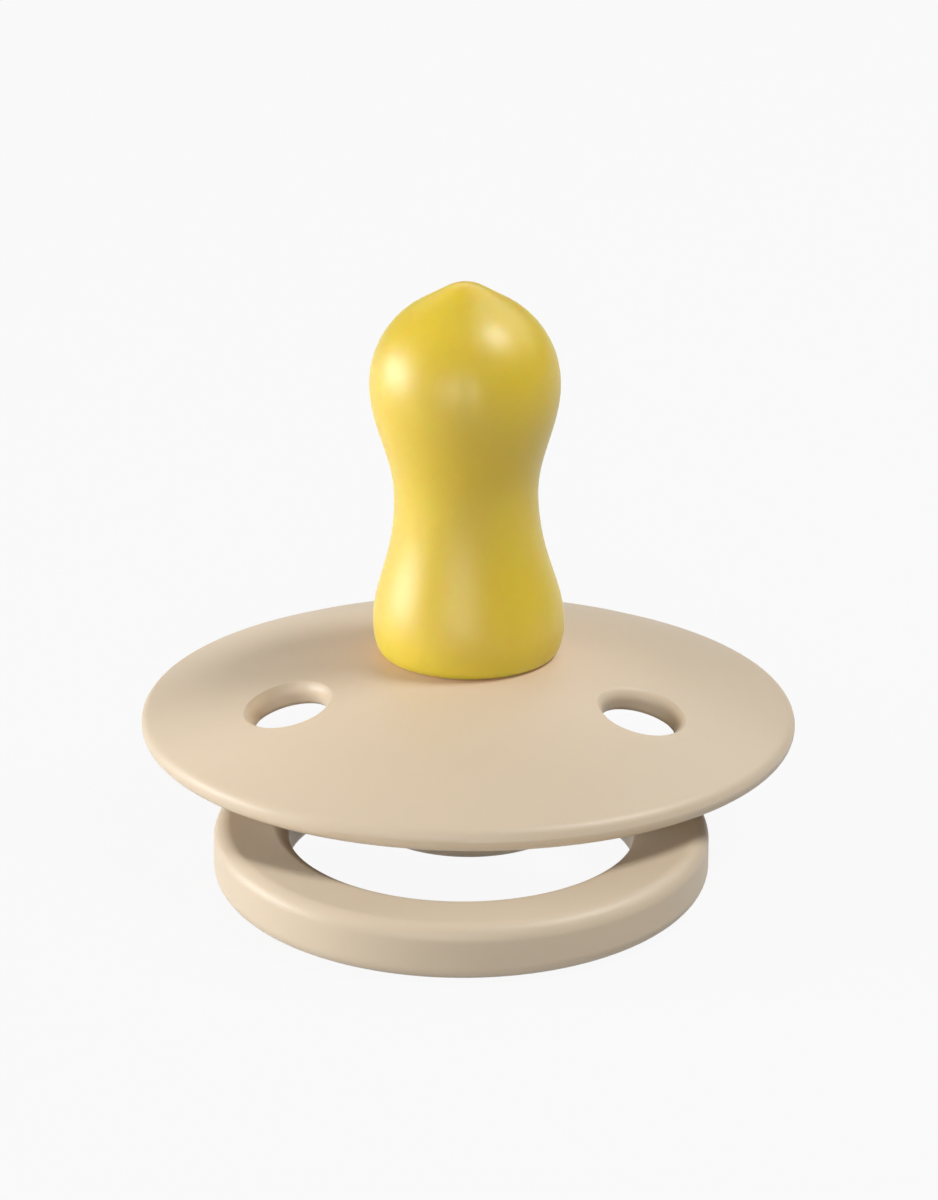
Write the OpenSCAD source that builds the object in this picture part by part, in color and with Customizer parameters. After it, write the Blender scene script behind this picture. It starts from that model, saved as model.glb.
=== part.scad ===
// Pacifier with a round domed shield, a cherry-shaped latex nipple and a swinging ring handle.
// Millimetres. +Z is up. The part stands on the flat face of its knob, nipple upwards, and the
// origin is on the shield's axis at that face. The ring lies towards -Y and turns about X.
//
// How it goes together: the nipple's open end goes down through the hole in the shield and turns
// out into a flange. The plug is pushed up into the nipple until its head snaps over the hole's
// edge inside the nipple's base, and its flange clamps the nipple's flange to the seat under the
// shield. The ring's pivot bar is laid in the knob's saddle, and the knob is snapped over the
// plug's boss, which closes the saddle from above. Two keys under the shield's collar enter the
// saddle's ends, so that the knob can't turn.

/* [Shield] */
// Outer diameter of the round shield
shield_d = 44; // [42:0.5:50]
// Thickness of the shield's plate, whose rim is fully rounded
plate_t = 1.7; // [1.4:0.1:2]
// Rise of the plate's middle surface from its rim to the axis
dome_rise = 4.55; // [3.5:0.05:5.2]
// Height of the middle of the rim above the face that the part stands on
rim_h = 7.4; // [7:0.1:8.5]
// Number of ventilation holes
vent_count = 3; // [2:1:4]
// Diameter of a ventilation hole
vent_d = 5.15; // [5.05:0.05:6]
// Distance of the ventilation holes' axes from the shield's axis
vent_place_r = 13.4; // [12.5:0.1:14.5]
// Radius of the rounding along a ventilation hole's upper lip
vent_lip_r = 0.85; // [0.4:0.05:0.9]
// Radius of the rounding along a ventilation hole's lower lip
vent_back_r = 0.4; // [0.2:0.05:0.45]
// Outer diameter of the collar under the shield, and of the knob below it
knob_d = 13.6; // [13:0.1:14.5]
// Thickness of the collar's wall
collar_wall = 0.9; // [0.8:0.05:1.2]

/* [Nipple] */
// Thickness of the dipped latex wall
latex_t = 1.1; // [0.9:0.05:1.3]
// Outer diameter of the nipple where it passes through the shield
socket_d = 9.4; // [9:0.1:9.8]
// Diameter over which the nipple's base rests on the dome
foot_d = 11.5; // [11:0.1:12]
// Largest diameter of the swelling at the nipple's base
base_d = 12.84; // [12.2:0.02:13.6]
// Smallest diameter of the nipple's neck
neck_d = 9.64; // [9:0.02:10.6]
// Largest diameter of the nipple's bulb
bulb_d = 12.76; // [12:0.02:14]
// Height of the base's largest diameter above the top of the dome
base_h = 1.9; // [1.8:0.05:2.8]
// Height of the neck's smallest diameter above the top of the dome
neck_h = 10.8; // [10:0.05:12]
// Height of the bulb's largest diameter above the top of the dome
bulb_h = 18.6; // [17.5:0.05:19.5]
// Height of the tip above the top of the dome
tip_h = 25.6; // [25.2:0.05:27.5]
// Radius of the rounded point at the tip
tip_round_r = 2.7; // [2.4:0.1:3.6]
// Share by which the slope between the neck and the base keeps to the neck's side
base_lag = 0.08; // [0:0.01:0.1]
// Thickness of the flange at the nipple's open end
flange_t = 1.2; // [1:0.05:1.5]

/* [Plug] */
// Thickness of the plug's flange, which clamps the nipple's flange
clamp_t = 1.2; // [1:0.05:1.4]
// Diameter of the plug's head inside the nipple's base
head_d = 8.6; // [8.2:0.1:9]
// Height of the straight part of the plug's head
head_h = 0.9; // [0.6:0.1:1.2]
// Diameter of the plug's boss inside the knob
boss_d = 9.8; // [9.4:0.1:10.2]
// Height of the snap bead's middle above the boss's lower face
snap_h = 1.3; // [1:0.05:1.6]
// Amount that the snap bead stands out of the boss
snap_out = 0.25; // [0.15:0.05:0.35]
// Diameter of the air hole along the plug, which lets air in and out through the saddle
plug_air_d = 1.5; // [1:0.1:2]

/* [Knob] */
// Radius of the rounding along the knob's lower edge
knob_edge_r = 0.6; // [0.3:0.1:1]
// Height of the pivot bar's axis above the face that the part stands on
bar_h = 3.55; // [3.4:0.05:3.9]

/* [Ring] */
// Outer diameter of the ring
ring_d = 32.8; // [31:0.2:36]
// Width of the ring's section, from its inside to its outside
ring_w = 5; // [4.4:0.1:5.6]
// Thickness of the ring's section
ring_t = 3.9; // [3.4:0.1:4.2]
// Radius of the rounding along the ring's four edges
ring_edge_r = 1.1; // [0.8:0.05:1.5]
// Diameter of the pivot bar across the ring
bar_d = 2.8; // [2.4:0.05:3]
// Distance along the bar from the knob's side to the middle of the ring's section
bar_end = 0.75; // [0.6:0.05:1.5]
// Amount by which the ring's two rounded lugs, which hold the bar, are thicker than the ring
lug_extra = 0.1; // [0.05:0.05:0.4]

/* [Fits] */
// Running clearance round the pivot bar, on the radius
run_gap = 0.06; // [0.02:0.01:0.1]
// Gap between the faces of parts that seat on each other sideways
seat_gap = 0.05; // [0.02:0.01:0.1]
// Gap between the ring's ends and the knob's side
side_gap = 0.3; // [0.2:0.05:0.5]
// Gap that is left between the ring and the surface under it
floor_gap = 0.02; // [0:0.01:0.1]

/* [Hidden] */

// Colours
beige = [0.86, 0.79, 0.69];
light_beige = [0.88, 0.82, 0.73];
amber = [0.87, 0.72, 0.36];

// Shield: the plate is a shell between two spheres, and a half round closes it along the rim
rim_r = (shield_d - plate_t)/2;
dome_r = (rim_r*rim_r + dome_rise*dome_rise)/(2*dome_rise);
dome_centre_z = rim_h + dome_rise - dome_r;
outer_dome_r = dome_r + plate_t/2;
inner_dome_r = dome_r - plate_t/2;
dome_top_z = dome_centre_z + outer_dome_r;
// Height of the cone from the spheres' centre that trims the shell square to itself at the rim
cone_h = rim_h - dome_centre_z;
// Slant of the dome at the ventilation holes, which are drilled square to it
vent_slant = asin(vent_place_r/dome_r);
// The third hole of three lies behind the nipple, and the other two flank it on the ring's side
first_vent_angle = 90;

// Stack along the axis, from the dome downwards
collar_bore_r = knob_d/2 - collar_wall;
seat_z = dome_z(inner_dome_r, collar_bore_r);
clamp_top_z = seat_z - flange_t;
knob_top_z = clamp_top_z - clamp_t;
saddle_top_z = bar_h + bar_d/2 + run_gap;
flange_r = collar_bore_r - 2*seat_gap;

// Nipple
socket_r = socket_d/2;
foot_r = foot_d/2;
base_z = dome_top_z + base_h;
neck_z = dome_top_z + neck_h;
bulb_z = dome_top_z + bulb_h;
tip_z = dome_top_z + tip_h;
tip_ball_z = tip_z - tip_round_r;
flank_angle = asin((bulb_d/2 - tip_round_r)/(tip_ball_z - bulb_z));

// Plug
stem_r = socket_r - latex_t - seat_gap;
head_z = dome_z(outer_dome_r, head_d/2) + latex_t + 3*seat_gap;
head_chamfer = head_d/2 - stem_r;
head_round = 1.4;

// Knob
saddle_w = bar_d + 2*run_gap;
knob_bore_r = boss_d/2 + seat_gap;

// Ring, drawn flat about the pivot bar's axis and then tilted until its far edge meets the floor
ring_mid_r = (ring_d - ring_w)/2;
ring_reach = sqrt(pow(ring_mid_r, 2) - pow(knob_d/2 + bar_end, 2));
ring_end_x = knob_d/2 + side_gap;
far_edge_y = ring_reach + ring_d/2 - ring_edge_r;
edge_drop = ring_t/2 - ring_edge_r;
ring_tilt = asin((bar_h - ring_edge_r - floor_gap)/norm([far_edge_y, edge_drop]))
    - atan2(edge_drop, far_edge_y);

overrun = 1;
arc_step = 7.5;
curve_steps = 20;

// Height of a sphere of radius r about the dome's centre, at distance d from the axis
function dome_z(r, d) = dome_centre_z + sqrt(r*r - d*d);

// Points of an arc about c, from angle a to angle b
function arc(c, r, a, b) = let (n = ceil(abs(b - a)/arc_step))
    [for (i = [0 : n]) c + r*[cos(a + (b - a)*i/n), sin(a + (b - a)*i/n)]];

// Points of a quarter ellipse about c with half-axes h, from angle a to angle b
function ellipse_arc(c, h, a, b) =
    [for (i = [0 : curve_steps]) let (t = a + (b - a)*i/curve_steps) c + [h.x*cos(t), h.y*sin(t)]];

// Points of a soft S between two radii at two heights, without its two end points. With lag, the
// middle of the S keeps to the first radius.
function soft_step(r1, z1, r2, z2, lag = 0) =
    [for (i = [1 : curve_steps - 1]) let (t = i/curve_steps, turn = t - lag*sin(180*t))
        [r1 + (r2 - r1)*(1 - cos(180*turn))/2, z1 + (z2 - z1)*t]];

// A list without its first item
function rest_of(list) = [for (i = [1 : len(list) - 1]) list[i]];

// The nipple's outline at depth d inside its outer surface, from the tip to the socket. The tip is
// a small ball and the bulb a large one, and a straight flank touches both.
function nipple_side(d) = concat(
    [[0, tip_z - d]],
    rest_of(arc([0, tip_ball_z], tip_round_r - d, 90, flank_angle)),
    arc([0, bulb_z], bulb_d/2 - d, flank_angle, 0),
    soft_step(bulb_d/2 - d, bulb_z, neck_d/2 - d, neck_z),
    soft_step(neck_d/2 - d, neck_z, base_d/2 - d, base_z, base_lag),
    ellipse_arc([foot_r - d, base_z], [(base_d - foot_d)/2, base_z - over_dome_z(foot_r) - d], 0, -90),
    [[socket_r - d, over_dome_z(socket_r) + d]]
);

// Height of the nipple's underside, which lies on the dome, at distance d from the axis
function over_dome_z(d) = dome_z(outer_dome_r, d) + seat_gap;

function reversed(list) = [for (i = [len(list) - 1 : -1 : 0]) list[i]];

// A ventilation hole's cutter along the hole's axis, with its origin in the plate's middle: a
// straight bore whose two ends flare into the lips
module vent_cutter() {
    upper = [vent_d/2 + vent_lip_r, plate_t/2 - vent_lip_r];
    lower = [vent_d/2 + vent_back_r, vent_back_r - plate_t/2];
    side = concat(
        [[lower[0], -plate_t/2 - overrun]],
        arc(lower, vent_back_r, 270, 180),
        arc(upper, vent_lip_r, 180, 90),
        [[upper[0], plate_t/2 + overrun]]
    );
    rotate_extrude($fn = 96)
        polygon(concat([[0, -plate_t/2 - overrun]], side, [[0, plate_t/2 + overrun]]));
}

module vent_places() {
    for (i = [0 : vent_count - 1])
        rotate([0, 0, first_vent_angle + i*360/vent_count])
            translate([0, 0, dome_centre_z])
                rotate([0, vent_slant, 0])
                    translate([0, 0, dome_r])
                        children();
}

module shield() {
    key_w = saddle_w - 2*seat_gap;
    key_in_r = collar_bore_r + seat_gap;
    key_out_r = knob_d/2 - 2*seat_gap;
    color(beige) difference() {
        union() {
            intersection() {
                difference() {
                    translate([0, 0, dome_centre_z]) sphere(r = outer_dome_r, $fn = 360);
                    translate([0, 0, dome_centre_z]) sphere(r = inner_dome_r, $fn = 360);
                }
                translate([0, 0, dome_centre_z])
                    cylinder(h = 2*cone_h, r1 = 0, r2 = 2*rim_r, $fn = 180);
            }
            translate([0, 0, rim_h])
                rotate_extrude($fn = 180) translate([rim_r, 0]) circle(d = plate_t, $fn = 48);
            translate([0, 0, knob_top_z])
                cylinder(h = seat_z + plate_t/2 - knob_top_z, d = knob_d, $fn = 120);
            for (side = [0, 180]) rotate([0, 0, side])
                translate([key_in_r, -key_w/2, saddle_top_z])
                    cube([key_out_r - key_in_r, key_w, knob_top_z + overrun - saddle_top_z]);
        }
        translate([0, 0, knob_top_z - overrun])
            cylinder(h = seat_z - knob_top_z + overrun, r = collar_bore_r, $fn = 120);
        cylinder(h = 2*dome_top_z, r = socket_r + seat_gap, $fn = 96);
        vent_places() vent_cutter();
    }
}

module nipple() {
    outer = nipple_side(0);
    inner = nipple_side(latex_t);
    flange = [
        [socket_r, seat_z],
        [flange_r, seat_z],
        [flange_r, clamp_top_z],
        [socket_r - latex_t, clamp_top_z]
    ];
    color(amber) rotate_extrude($fn = 120) polygon(concat(outer, flange, reversed(inner)));
}

module plug() {
    boss_r = boss_d/2;
    air_r = plug_air_d/2;
    head_r = head_d/2;
    snap_z = saddle_top_z + snap_h;
    head_side_z = head_z + head_chamfer/2;
    head_round_z = head_side_z + head_h;
    side = concat(
        [
            [boss_r - snap_out, saddle_top_z],
            [boss_r, saddle_top_z + snap_out],
            [boss_r, snap_z - snap_out],
            [boss_r + snap_out, snap_z],
            [boss_r, snap_z + snap_out],
            [boss_r, knob_top_z],
            [flange_r, knob_top_z],
            [flange_r, clamp_top_z],
            [stem_r, clamp_top_z],
            [stem_r, head_z - head_chamfer/2],
            [head_r, head_side_z]
        ],
        arc([head_r - head_round, head_round_z], head_round, 0, 90)
    );
    color(light_beige) rotate_extrude($fn = 96)
        polygon(concat([[air_r, saddle_top_z]], side, [[air_r, head_round_z + head_round]]));
}

module knob() {
    knob_r = knob_d/2;
    snap_z = saddle_top_z + snap_h;
    groove_r = knob_bore_r + snap_out;
    outside = concat(
        arc([knob_r - knob_edge_r, knob_edge_r], knob_edge_r, -90, 0),
        [[knob_r, knob_top_z]]
    );
    bore = [
        [knob_bore_r, knob_top_z],
        [knob_bore_r, snap_z + snap_out],
        [groove_r, snap_z],
        [knob_bore_r, snap_z - snap_out],
        [knob_bore_r, saddle_top_z],
        [0, saddle_top_z],
        [0, 0]
    ];
    color(beige) difference() {
        rotate_extrude($fn = 120) polygon(concat(outside, bore));
        translate([-knob_d, 0, bar_h])
            rotate([0, 90, 0]) cylinder(h = 2*knob_d, d = saddle_w, $fn = 64);
        translate([-knob_d, -saddle_w/2, bar_h])
            cube([2*knob_d, saddle_w, knob_top_z - bar_h + overrun]);
    }
}

module ring() {
    half_w = ring_w/2 - ring_edge_r;
    half_t = ring_t/2 - ring_edge_r;
    section = concat(
        arc([half_w, half_t], ring_edge_r, 0, 90),
        arc([-half_w, half_t], ring_edge_r, 90, 180),
        arc([-half_w, -half_t], ring_edge_r, 180, 270),
        arc([half_w, -half_t], ring_edge_r, 270, 360)
    );
    color(beige) translate([0, 0, bar_h]) rotate([ring_tilt, 0, 0]) union() {
        difference() {
            intersection() {
                translate([0, -ring_reach, 0])
                    rotate_extrude($fn = 180) translate([ring_mid_r, 0]) polygon(section);
                union() {
                    translate([-ring_d, -2*ring_d, -ring_t]) cube([2*ring_d, 2*ring_d, 2*ring_t]);
                    translate([-ring_d, 0, 0]) rotate([0, 90, 0])
                        cylinder(h = 2*ring_d, d = ring_t + lug_extra, $fn = 64);
                }
            }
            translate([-ring_end_x, -ring_reach, -ring_t])
                cube([2*ring_end_x, ring_reach + ring_d, 2*ring_t]);
        }
        translate([-ring_end_x - bar_end, 0, 0])
            rotate([0, 90, 0]) cylinder(h = 2*(ring_end_x + bar_end), d = bar_d, $fn = 64);
    }
}

shield();
nipple();
plug();
knob();
ring();
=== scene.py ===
# %% [markdown]
# # A pacifier: soft latex nipple, satin plastic shield, knob and ring
#
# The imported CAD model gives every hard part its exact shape. This lesson dresses it: it models
# the soft nipple anew, gives each part the finish of its own material, and sets up a small
# studio round it. Everything is in metres, and +Z points up along the nipple.

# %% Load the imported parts
import math

import bpy
from mathutils import Matrix, Vector


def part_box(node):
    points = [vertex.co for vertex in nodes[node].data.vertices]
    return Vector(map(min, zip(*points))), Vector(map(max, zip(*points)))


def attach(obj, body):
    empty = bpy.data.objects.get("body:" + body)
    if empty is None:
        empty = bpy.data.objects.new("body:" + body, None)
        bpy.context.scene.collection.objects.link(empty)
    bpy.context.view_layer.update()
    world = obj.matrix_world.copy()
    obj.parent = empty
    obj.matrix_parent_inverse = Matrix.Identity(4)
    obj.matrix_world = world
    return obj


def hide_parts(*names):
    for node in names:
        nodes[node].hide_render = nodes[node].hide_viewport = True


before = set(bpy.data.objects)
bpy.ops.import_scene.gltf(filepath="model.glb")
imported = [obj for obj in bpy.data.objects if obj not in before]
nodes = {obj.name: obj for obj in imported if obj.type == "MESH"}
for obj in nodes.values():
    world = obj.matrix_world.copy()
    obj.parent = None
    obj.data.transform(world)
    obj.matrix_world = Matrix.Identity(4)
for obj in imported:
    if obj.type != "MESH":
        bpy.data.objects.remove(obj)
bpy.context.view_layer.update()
mm = 0.001

# %% [markdown]
# ## Where the camera stands
#
# Something this small is best shown from more than ten times its own size away, so that the
# round shield stays an even oval. A long lens does that: the camera stands 0.6 m off, a little
# above the shield and two degrees to its right. It aims a little above the shield, because the
# tall nipple needs the room above it.

# %% Camera
rim_centre = Vector((0, 0, 7.4 * mm))
elevation = math.radians(21.33)
side_step = math.radians(2.0)
distance = 0.6

towards_camera = Vector((
    math.cos(elevation) * math.sin(side_step),
    -math.cos(elevation) * math.cos(side_step),
    math.sin(elevation),
))
camera_place = rim_centre + distance * towards_camera
aim_up = math.radians(0.771)
roll = math.radians(0.39)

camera_data = bpy.data.cameras.new("camera")
camera_data.lens = 267.2
camera_data.sensor_width = 36
camera_data.clip_start = 0.05
camera_data.clip_end = 20
camera = bpy.data.objects.new("camera", camera_data)
bpy.context.scene.collection.objects.link(camera)
looking = (-towards_camera).to_track_quat("-Z", "Y").to_matrix().to_4x4()
tilt = Matrix.Rotation(aim_up, 4, "X") @ Matrix.Rotation(roll, 4, "Z")
camera.matrix_world = Matrix.Translation(camera_place) @ looking @ tilt
bpy.context.scene.camera = camera
print("camera at", [round(c, 3) for c in camera_place])

# %% [markdown]
# ## The nipple, as a dipped shell
#
# The real nipple is made by dipping a polished former into liquid rubber: the former gives the
# inside, and the outside follows it at an even wall of about a millimetre. So the piece is one
# sheet with the nipple's outside shape, and a Solidify modifier gives it its wall. The sheet
# could be a Screw modifier on a curve, or a stack of rings. Here a circle is extruded upwards
# ring by ring, as on a potter's wheel, because each ring's radius can then be worked out from
# a few sizes that have a name: foot, base, neck, bulb and tip.

# %% Small helpers for modelling
def leave_edit_mode():
    """Back to object mode with nothing selected, so that the next operator acts on one piece."""
    if bpy.context.object and bpy.context.object.mode != "OBJECT":
        bpy.ops.object.mode_set(mode="OBJECT")
    bpy.ops.object.select_all(action="DESELECT")


def pick_vertices(piece, wanted):
    """Selects the vertices for which wanted(place) is true, in edit mode, and returns how many."""
    bpy.ops.object.mode_set(mode="EDIT")
    bpy.ops.mesh.select_mode(type="VERT")
    bpy.ops.mesh.select_all(action="DESELECT")
    bpy.ops.object.mode_set(mode="OBJECT")
    count = 0
    for vertex in piece.data.vertices:
        if wanted(vertex.co):
            vertex.select = True
            count += 1
    bpy.ops.object.mode_set(mode="EDIT")
    return count


# %% The nipple's named sizes, in metres
nipple_low, nipple_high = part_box("nipple")
tip_z = nipple_high.z
flange_low_z = nipple_low.z
flange_top_z = flange_low_z + 1.2 * mm
flange_r, flange_mid_r = 5.75 * mm, 5.2 * mm
socket_r = 4.7 * mm
foot_r, foot_z = 5.75 * mm, 12.54 * mm
base_r, base_z = 6.42 * mm, 14.7 * mm
neck_r, neck_z = 4.82 * mm, 23.6 * mm
bulb_r, bulb_z = 6.38 * mm, 31.4 * mm
tip_ball_r = 2.7 * mm
tip_ball_z = tip_z - tip_ball_r
flank = math.asin((bulb_r - tip_ball_r) / (tip_ball_z - bulb_z))
wall = 1.05 * mm
print("nipple from", round(flange_low_z / mm, 2), "to", round(tip_z / mm, 2), "mm")

# %% [markdown]
# ## The outline
#
# From below: the flange that is clamped, the straight socket that passes through the shield,
# the foot that rests on the dome, the swelling of the base, the neck, the bulb and a small
# round point. Two soft S curves join base, neck and bulb, because a dipped shape has no
# corners. The end is part of one ball, a straight flank, and part of a smaller ball.

# %% Its outline, from the flange up to the tip
def soft_step(r1, z1, r2, z2, steps, lag=0.0):
    """Rings on a soft S from one radius to another, without the first one."""
    rings = []
    for step in range(1, steps + 1):
        t = step / steps
        turn = t - lag * math.sin(math.pi * t)
        rings.append((r1 + (r2 - r1) * (1 - math.cos(math.pi * turn)) / 2, z1 + (z2 - z1) * t))
    return rings


def round_arc(centre_r, centre_z, r, start, end, steps):
    """Rings on an arc, without the first one."""
    angles = [start + (end - start) * step / steps for step in range(1, steps + 1)]
    return [(centre_r + r * math.cos(a), centre_z + r * math.sin(a)) for a in angles]


outline = [(flange_r, flange_top_z), (flange_mid_r, flange_top_z), (socket_r, flange_top_z)]
outline += [(socket_r, flange_top_z + 1 * mm), (socket_r, foot_z + 0.1 * mm), (foot_r, foot_z)]
foot_steps = 10
for step in range(1, foot_steps + 1):
    a = math.radians(-90 + 90 * step / foot_steps)
    outline.append((
        foot_r + (base_r - foot_r) * math.cos(a),
        base_z + (base_z - foot_z) * math.sin(a),
    ))
outline += soft_step(base_r, base_z, neck_r, neck_z, 16, lag=-0.08)
outline += soft_step(neck_r, neck_z, bulb_r, bulb_z, 16)
outline += round_arc(0, bulb_z, bulb_r, 0, flank, 9)
outline += round_arc(0, tip_ball_z, tip_ball_r, flank, math.radians(88), 6)
print("rings in the outline:", len(outline))

# %% [markdown]
# ## Raising the sheet
#
# One circle is extruded from ring to ring and scaled to each new radius. The last ring is
# merged to a point, so the tip is closed.

# %% Raise the sheet ring by ring, and close it at the tip
leave_edit_mode()
first_r, first_z = outline[0]
bpy.ops.mesh.primitive_circle_add(vertices=96, radius=first_r, location=(0, 0, first_z))
nipple = bpy.context.object
nipple.name = "latex_nipple"
bpy.ops.object.transform_apply(location=True, rotation=True, scale=True)
bpy.ops.object.mode_set(mode="EDIT")
bpy.ops.mesh.select_all(action="SELECT")
for (r1, z1), (r2, z2) in zip(outline, outline[1:]):
    bpy.ops.mesh.extrude_edges_move(TRANSFORM_OT_translate={"value": (0, 0, z2 - z1)})
    bpy.ops.transform.resize(value=(r2 / r1, r2 / r1, 1), center_override=(0, 0, z2))
bpy.ops.mesh.merge(type="CENTER")
bpy.ops.mesh.select_all(action="SELECT")
bpy.ops.mesh.remove_doubles(threshold=1e-6)
bpy.ops.mesh.normals_make_consistent(inside=False)
leave_edit_mode()
print("nipple sheet:", len(nipple.data.vertices), "points")

# %% [markdown]
# ## Soft rubber is never quite true
#
# A rubber nipple leans a little, and the bulb of this one has a faint upright dent on its
# front. Both are pushes with soft edges, so they are moves with proportional editing: what
# is near the chosen ring follows it, and the foot, which the shield holds, stays where it is.

# %% Lean the bulb, and press the faint dent into its front
lean = 0.36 * mm
dent_low, dent_high = 31.0 * mm, 33.6 * mm
dent_x, dent_half_width, dent_depth = 0.1 * mm, 0.25 * mm, 0.07 * mm
bpy.context.view_layer.objects.active = nipple
nipple.select_set(True)
pick_vertices(nipple, lambda place: place.z > bulb_z - 1 * mm)
bpy.ops.transform.translate(
    value=(-lean, 0, 0),
    use_proportional_edit=True,
    proportional_edit_falloff="SMOOTH",
    proportional_size=18 * mm,
)
dented = pick_vertices(
    nipple,
    lambda place: dent_low < place.z < dent_high
    and abs(place.x - dent_x) < dent_half_width
    and place.y < 0,
)
bpy.ops.transform.translate(
    value=(0, dent_depth, 0),
    use_proportional_edit=True,
    proportional_edit_falloff="SMOOTH",
    proportional_size=0.7 * mm,
)
leave_edit_mode()
print("points in the dent:", dented)

# %% [markdown]
# ## The wall
#
# The sheet is the outside, so the wall grows inwards only. It comes after the normals are made
# consistent, because they tell the modifier which side is in.

# %% Give it its wall
nipple.select_set(True)
bpy.context.view_layer.objects.active = nipple
shell = nipple.modifiers.new("wall", "SOLIDIFY")
shell.thickness = wall
shell.offset = -1
shell.use_even_offset = True
bpy.ops.object.modifier_apply(modifier=shell.name)
bpy.ops.object.shade_smooth_by_angle(angle=math.radians(50))
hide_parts("nipple")
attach(nipple, "pacifier_body")
leave_edit_mode()
print("nipple:", len(nipple.data.polygons), "faces")

# %% [markdown]
# ## Satin plastic
#
# Shield, plug, knob and ring are moulded in polypropylene, dyed a warm beige. The mould's fine
# spark-eroded texture makes it satin: it has no sharp reflections, and its highlights are wide
# and soft. A single colour would look like paper, so the material mixes three things: a slow
# drift of the dye's shade, the grain of the mould as bump, and a little light that goes into
# the plastic and comes out beside where it went in.

# %% A helper that makes one of the beige plastics
def beige_plastic(name, colour, pale, seed):
    """Satin polypropylene: colour is the dye, and pale is the same dye where it ran thinner."""
    material = bpy.data.materials.new(name)
    material.use_nodes = True
    tree = material.node_tree
    link = tree.links.new
    shader = tree.nodes["Principled BSDF"]
    place = tree.nodes.new("ShaderNodeTexCoord")
    shift = tree.nodes.new("ShaderNodeMapping")
    shift.inputs["Location"].default_value = (seed, 2 * seed, 3 * seed)
    link(place.outputs["Object"], shift.inputs["Vector"])

    drift = tree.nodes.new("ShaderNodeTexNoise")
    drift.inputs["Scale"].default_value = 90
    drift.inputs["Detail"].default_value = 3
    link(shift.outputs["Vector"], drift.inputs["Vector"])
    shade = tree.nodes.new("ShaderNodeMix")
    shade.data_type = "RGBA"
    shade.inputs["A"].default_value = (*colour, 1)
    shade.inputs["B"].default_value = (*pale, 1)
    link(drift.outputs["Fac"], shade.inputs["Factor"])
    link(shade.outputs["Result"], shader.inputs["Base Color"])

    grain = tree.nodes.new("ShaderNodeTexNoise")
    grain.inputs["Scale"].default_value = 5200
    grain.inputs["Detail"].default_value = 2
    link(shift.outputs["Vector"], grain.inputs["Vector"])
    bump = tree.nodes.new("ShaderNodeBump")
    bump.inputs["Strength"].default_value = 0.12
    bump.inputs["Distance"].default_value = 0.00003
    link(grain.outputs["Fac"], bump.inputs["Height"])
    link(bump.outputs["Normal"], shader.inputs["Normal"])

    polish = tree.nodes.new("ShaderNodeMapRange")
    polish.inputs["To Min"].default_value = 0.40
    polish.inputs["To Max"].default_value = 0.50
    link(drift.outputs["Fac"], polish.inputs["Value"])
    link(polish.outputs["Result"], shader.inputs["Roughness"])

    shader.inputs["Subsurface Weight"].default_value = 0.12
    shader.inputs["Subsurface Radius"].default_value = (1.0, 0.7, 0.45)
    shader.inputs["Subsurface Scale"].default_value = 0.0012
    shader.inputs["IOR"].default_value = 1.49
    return material


# %% Dress the hard parts
beige = (0.690, 0.565, 0.413)
pale_beige = (0.715, 0.590, 0.436)
finishes = {
    "shield": beige_plastic("shield_plastic", beige, pale_beige, 0.1),
    "knob": beige_plastic("knob_plastic", beige, pale_beige, 0.2),
    "ring": beige_plastic("ring_plastic", beige, pale_beige, 0.3),
    "plug": beige_plastic("plug_plastic", (0.70, 0.585, 0.44), (0.73, 0.61, 0.46), 0.4),
}
for part, finish in finishes.items():
    nodes[part].data.materials.clear()
    nodes[part].data.materials.append(finish)
    print(part, "wears", finish.name)

# %% [markdown]
# ## Amber latex
#
# Natural rubber is cloudy amber. Light goes into it, turns yellow on its way, and comes out
# all round, so the thin wall glows where light stands behind it and is deepest in colour where
# it is seen edge on. Subsurface scattering does this: red goes furthest, and blue is used up
# almost at once. The surface is satin, with a very slight ripple from the dipping, and a thin
# coat stands for the last, smooth layer of rubber, which gives it its wide pale glow.

# %% The latex
latex = bpy.data.materials.new("latex")
latex.use_nodes = True
tree = latex.node_tree
link = tree.links.new
shader = tree.nodes["Principled BSDF"]
place = tree.nodes.new("ShaderNodeTexCoord")
cloud = tree.nodes.new("ShaderNodeTexNoise")
cloud.inputs["Scale"].default_value = 140
cloud.inputs["Detail"].default_value = 2
link(place.outputs["Object"], cloud.inputs["Vector"])
shade = tree.nodes.new("ShaderNodeMix")
shade.data_type = "RGBA"
shade.inputs["A"].default_value = (0.96, 0.545, 0.035, 1)
shade.inputs["B"].default_value = (0.98, 0.59, 0.055, 1)
link(cloud.outputs["Fac"], shade.inputs["Factor"])
link(shade.outputs["Result"], shader.inputs["Base Color"])
ripple = tree.nodes.new("ShaderNodeBump")
ripple.inputs["Strength"].default_value = 0.2
ripple.inputs["Distance"].default_value = 0.0002
link(cloud.outputs["Fac"], ripple.inputs["Height"])
link(ripple.outputs["Normal"], shader.inputs["Normal"])
shader.inputs["Roughness"].default_value = 0.43
shader.inputs["Coat Weight"].default_value = 0.4
shader.inputs["Coat Roughness"].default_value = 0.42
shader.inputs["Subsurface Weight"].default_value = 0.9
shader.inputs["Subsurface Radius"].default_value = (1.0, 0.52, 0.12)
shader.inputs["Subsurface Scale"].default_value = 0.0035
shader.inputs["IOR"].default_value = 1.52
nipple.data.materials.clear()
nipple.data.materials.append(latex)
print("latex is on", nipple.name)

# %% [markdown]
# ## The studio
#
# The table has two faces. For the lamps it is a mid grey, so that it throws little light back
# up under the shield. For the camera, and for what glossy and clear surfaces show of it, it is
# mostly its own white, with a little of its lit surface left in, which keeps a faint shadow.
# The room does the same: it is white to look at, and gives the pacifier almost no light.
# Both ask the Light Path node which kind of ray has met them, so they share one helper.

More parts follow.
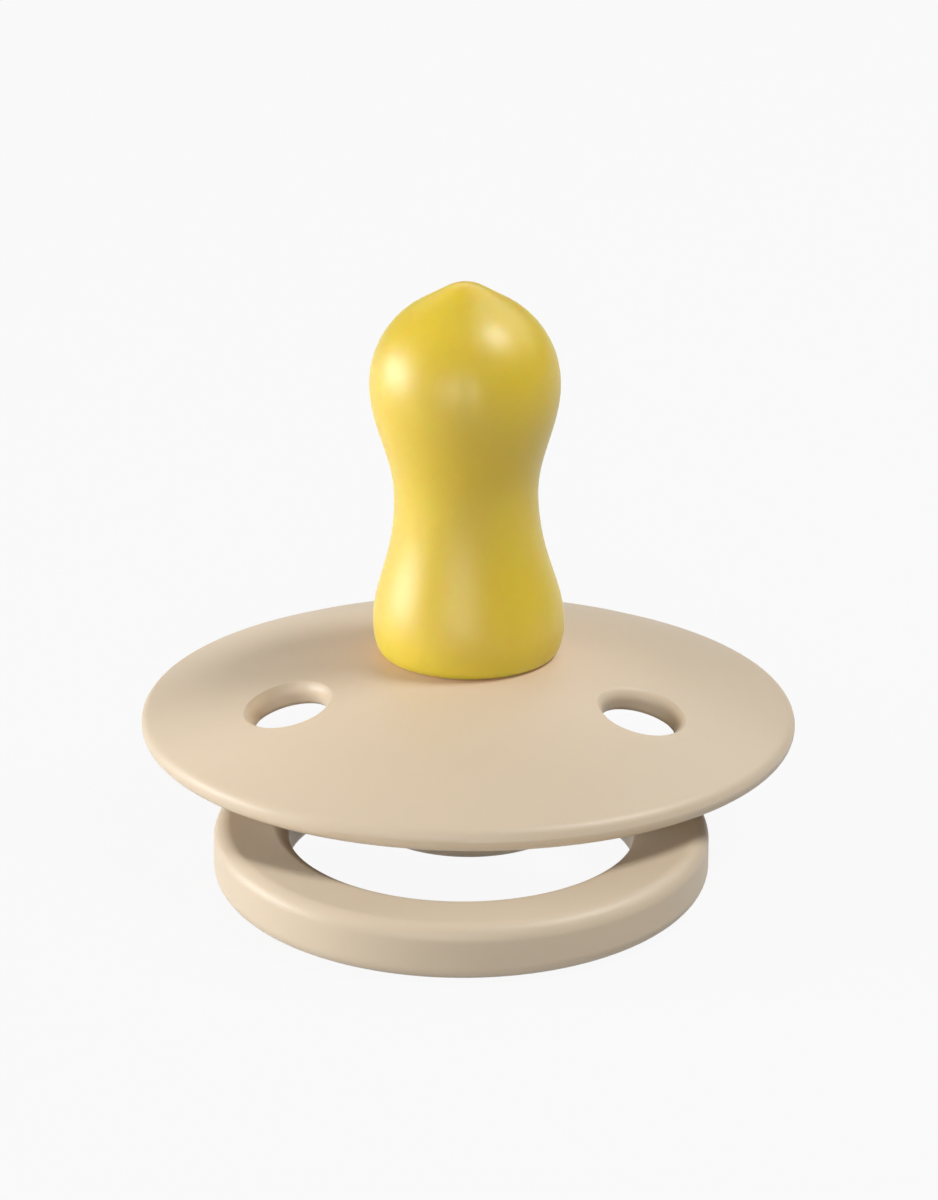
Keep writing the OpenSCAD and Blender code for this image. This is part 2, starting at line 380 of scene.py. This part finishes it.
# %% A helper that asks what kind of ray it is
def one_of_these_rays(tree, kinds):
    """A socket that is 1 for a ray of any of the kinds, and 0 for the others."""
    seen = tree.nodes.new("ShaderNodeLightPath")
    answer = seen.outputs[kinds[0]]
    for kind in kinds[1:]:
        either = tree.nodes.new("ShaderNodeMath")
        either.operation = "MAXIMUM"
        tree.links.new(answer, either.inputs[0])
        tree.links.new(seen.outputs[kind], either.inputs[1])
        answer = either.outputs["Value"]
    return answer


# %% The floor
floor_drop = 0.05 * mm  # so that the table and the knob's flat face aren't one surface
leave_edit_mode()
bpy.ops.mesh.primitive_plane_add(size=4, location=(0, 0, -floor_drop))
floor = bpy.context.object
floor.name = "white_table"
floor_white = bpy.data.materials.new("white_table")
floor_white.use_nodes = True
tree = floor_white.node_tree
link = tree.links.new
lit = tree.nodes["Principled BSDF"]
lit.inputs["Base Color"].default_value = (0.30, 0.30, 0.30, 1)
lit.inputs["Roughness"].default_value = 0.8
glow = tree.nodes.new("ShaderNodeEmission")
glow.inputs["Color"].default_value = (1, 1, 1, 1)
glow.inputs["Strength"].default_value = 1.0
viewing = one_of_these_rays(tree, ["Is Camera Ray", "Is Glossy Ray", "Is Transmission Ray"])
share = tree.nodes.new("ShaderNodeMath")
share.operation = "MULTIPLY"
share.inputs[1].default_value = 0.93
link(viewing, share.inputs[0])
mix = tree.nodes.new("ShaderNodeMixShader")
link(share.outputs["Value"], mix.inputs["Fac"])
link(lit.outputs["BSDF"], mix.inputs[1])
link(glow.outputs["Emission"], mix.inputs[2])
link(mix.outputs["Shader"], tree.nodes["Material Output"].inputs["Surface"])
floor.data.materials.append(floor_white)
print("floor:", floor.name)

# %% The room
world = bpy.data.worlds.new("white_room")
bpy.context.scene.world = world
world.use_nodes = True
tree = world.node_tree
link = tree.links.new
room = tree.nodes["Background"]
room.inputs["Color"].default_value = (1, 1, 1, 1)
viewing = one_of_these_rays(tree, ["Is Camera Ray", "Is Transmission Ray"])
level = tree.nodes.new("ShaderNodeMapRange")
level.inputs["To Min"].default_value = 0.06
level.inputs["To Max"].default_value = 1.0
link(viewing, level.inputs["Value"])
link(level.outputs["Result"], room.inputs["Strength"])
print("room light:", level.inputs["To Min"].default_value)

# %% [markdown]
# ## The lamps
#
# Four softboxes make the light. A wide, low one on the left gives the nipple its glow and
# lights the ring's side. A small, high one on the right throws the nipple's soft shadow to
# the left. A long strip behind lights the top of the shield, and is so long that the nipple's
# shadow from it dissolves. A low one in front lifts what faces the camera.

# %% Place them
lamps_look_at = Vector((0, 0, 12 * mm))


def soft_lamp(name, azimuth, height, width, power, flat=1.0, away=0.5):
    """A softbox that looks at the pacifier. Azimuth 0 is the camera's side, 90 the right.

    width is its size from side to side, and flat is its height as a share of that."""
    a, e = math.radians(azimuth), math.radians(height)
    towards = Vector((math.sin(a) * math.cos(e), -math.cos(a) * math.cos(e), math.sin(e)))
    data = bpy.data.lights.new(name, "AREA")
    data.shape = "ELLIPSE"
    data.size = width
    data.size_y = width * flat
    data.energy = power
    lamp = bpy.data.objects.new(name, data)
    bpy.context.scene.collection.objects.link(lamp)
    turn = (-towards).to_track_quat("-Z", "Y").to_matrix().to_4x4()
    lamp.matrix_world = Matrix.Translation(lamps_look_at + away * towards) @ turn
    print(name, "at", azimuth, "degrees, height", height, "degrees,", power, "W")


soft_lamp("left_softbox", -90, 9, 0.42, 2.6, flat=0.5)
soft_lamp("front_fill", -8, 12, 0.45, 1.0, flat=0.45)
soft_lamp("right_lamp", 88, 60, 0.18, 1.6)
soft_lamp("back_strip", 160, 36, 1.1, 0.9, flat=0.11)

# %% Finish
bpy.context.scene.view_settings.view_transform = "Standard"
